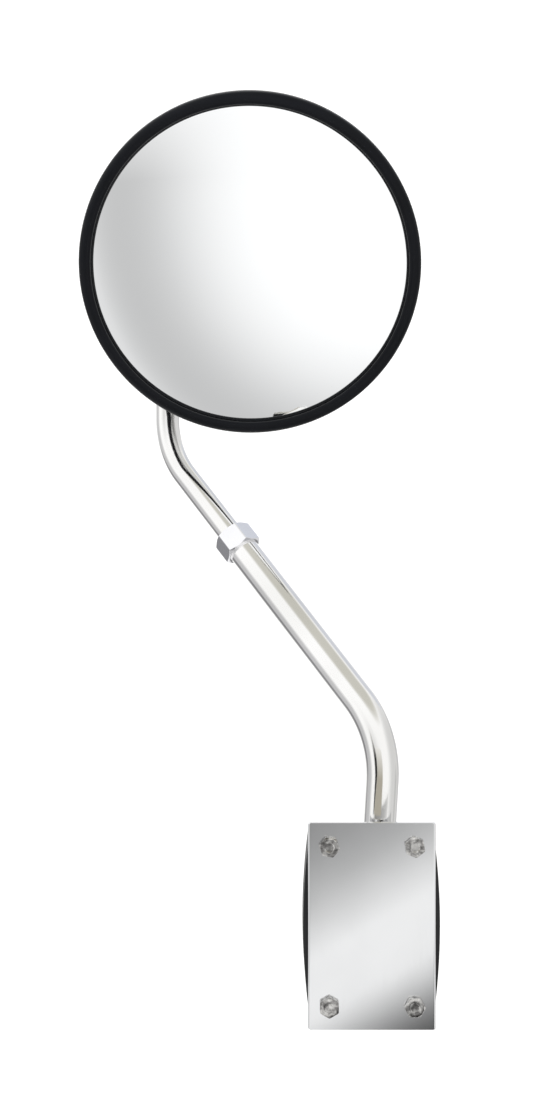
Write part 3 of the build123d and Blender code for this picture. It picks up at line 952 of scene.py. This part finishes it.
def angle_range(tree, vector, azimuth, elevation, start, end):
    """Runs from 1 at the start angle from a direction to 0 at the end angle."""
    dot = add(tree, "ShaderNodeVectorMath", operation="DOT_PRODUCT")
    dot.inputs[1].default_value = direction(azimuth, elevation)
    tree.links.new(vector, dot.inputs[0])
    spread = tree.nodes.new("ShaderNodeMapRange")
    spread.interpolation_type = "SMOOTHSTEP"
    spread.inputs["From Min"].default_value = math.cos(math.radians(end))
    spread.inputs["From Max"].default_value = math.cos(math.radians(start))
    tree.links.new(dot.outputs["Value"], spread.inputs["Value"])
    return spread.outputs["Result"]


def crescent(tree, vector):
    """Soft grey crescent that the convex lens shows along its left and lower edge."""
    dot = add(tree, "ShaderNodeVectorMath", operation="DOT_PRODUCT")
    dot.inputs[1].default_value = direction(35, -10)
    tree.links.new(vector, dot.inputs[0])
    angle = add(tree, "ShaderNodeMath", operation="ARCCOSINE")
    tree.links.new(dot.outputs["Value"], angle.inputs[0])
    turn = ranged(tree, angle.outputs["Value"], 0.0, 1.0, 0.0, math.radians(100))
    stops = [(0.30, 1.0), (0.36, 0.96), (0.42, 0.90), (0.48, 0.81), (0.54, 0.70)]
    stops += [(0.60, 0.59), (0.66, 0.53), (0.72, 0.52), (0.78, 0.64), (0.92, 1.0)]
    grey = ramp_of(tree, turn, stops)
    height = tree.nodes.new("ShaderNodeSeparateXYZ")
    tree.links.new(vector, height.inputs["Vector"])
    fade = ranged(tree, height.outputs["Z"], 0.0, 1.0, -0.12, 0.36)
    return mixed(tree, fade, grey, (1.0, 1.0, 1.0, 1.0))


def mixed(tree, amount, low, high):
    """Colour mix; low and high are sockets or plain colours."""
    mix = tree.nodes.new("ShaderNodeMix")
    mix.data_type = "RGBA"
    tree.links.new(amount, mix.inputs[0])
    for socket, value in ((mix.inputs[6], low), (mix.inputs[7], high)):
        if isinstance(value, tuple):
            socket.default_value = value
        else:
            tree.links.new(value, socket)
    return mix.outputs[2]


def studio_world():
    """White room with soft grey patches, which polished metal picks up as bands."""
    world = bpy.data.worlds.new("studio_world")
    bpy.context.scene.world = world
    world.use_nodes = True
    tree = world.node_tree
    background = tree.nodes["Background"]
    coordinates = tree.nodes.new("ShaderNodeTexCoord")
    normalise = add(tree, "ShaderNodeVectorMath", operation="NORMALIZE")
    tree.links.new(coordinates.outputs["Generated"], normalise.inputs[0])
    toward = normalise.outputs["Vector"]
    patches = [
        # azimuth, elevation, angle where full, angle where gone, colour
        (30, 72, 20, 40, (0.58, 0.57, 0.52, 1.0)),
        (45, 86, 7, 12, (0.15, 0.15, 0.14, 1.0)),
        (140, 38, 8, 30, (0.62, 0.64, 0.69, 1.0)),
        (140, 0, 8, 26, (0.54, 0.54, 0.55, 1.0)),
        (100, -3, 24, 66, (0.68, 0.68, 0.68, 1.0)),
        (-128, -17, 6, 22, (0.24, 0.24, 0.25, 1.0)),
        (-110, -14, 14, 38, (0.55, 0.55, 0.56, 1.0)),
        (140, -38, 8, 30, (0.24, 0.24, 0.24, 1.0)),
        (85, -38, 8, 24, (0.40, 0.40, 0.41, 1.0)),
        (30, -88, 6, 16, (0.18, 0.18, 0.18, 1.0)),
    ]
    colour = crescent(tree, toward)
    for azimuth, elevation, start, end, tone in patches:
        amount = angle_range(tree, toward, azimuth, elevation, start, end)
        darker = add(tree, "ShaderNodeVectorMath", operation="MINIMUM")
        tree.links.new(colour, darker.inputs[0])
        tree.links.new(mixed(tree, amount, (1.0, 1.0, 1.0, 1.0), tone), darker.inputs[1])
        colour = darker.outputs["Vector"]
    path = tree.nodes.new("ShaderNodeLightPath")
    shown = mixed(tree, path.outputs["Is Camera Ray"], colour, (1.0, 1.0, 1.0, 1.0))
    tree.links.new(shown, background.inputs["Color"])
    background.inputs["Strength"].default_value = 1.12


def area_light(name, azimuth, elevation, distance, size, power):
    """A soft box that looks at the middle of the object."""
    target = Vector((-0.06, 0.03, 0.2))
    light = bpy.data.lights.new(name, "AREA")
    light.shape = "RECTANGLE"
    light.size = size[0]
    light.size_y = size[1]
    light.energy = power
    lamp = bpy.data.objects.new(name, light)
    lamp.location = target + direction(azimuth, elevation) * distance
    lamp.rotation_euler = (lamp.location - target).to_track_quat("Z", "Y").to_euler()
    lamp.visible_glossy = False
    bpy.context.scene.collection.objects.link(lamp)


def studio_camera():
    """Camera one metre in front of the plate, looking level."""
    data = bpy.data.cameras.new("camera")
    data.lens = 54.49
    data.sensor_width = 36.0
    data.clip_end = 50.0
    camera = bpy.data.objects.new("camera", data)
    camera.location = (-0.0589, -1.034, 0.2211)
    camera.rotation_euler = (math.pi / 2, 0, 0)
    bpy.context.scene.collection.objects.link(camera)
    bpy.context.scene.camera = camera


sweep_backdrop()
# Painted reflection for the plate's polished face.
plate_reflection_card()
# Painted reflections on the leg of the lower tube: a dark streak and a warm band.
dark_reflection_outline = [(-0.042, 0.128), (-0.024, 0.104), (-0.024, 0.088), (-0.040, 0.060), (-0.047, 0.060)]
dark_reflection_outline += [(-0.047, 0.100)]
warm_reflection_outline = [(-0.023, 0.112), (0.006, 0.112), (0.006, 0.060), (-0.039, 0.060), (-0.023, 0.088)]
strip_card("dark_reflection_strip", dark_reflection_outline, -0.060, (0.025, 0.024, 0.022))
strip_card("warm_reflection_strip", warm_reflection_outline, -0.060, (0.48, 0.45, 0.38))
studio_world()
area_light("key_light", -50, 45, 1.8, (1.2, 1.2), 26.0)
area_light("fill_light", 60, 30, 2.2, (1.4, 1.4), 14.0)
studio_camera()
bpy.context.scene.view_settings.view_transform = "Standard"
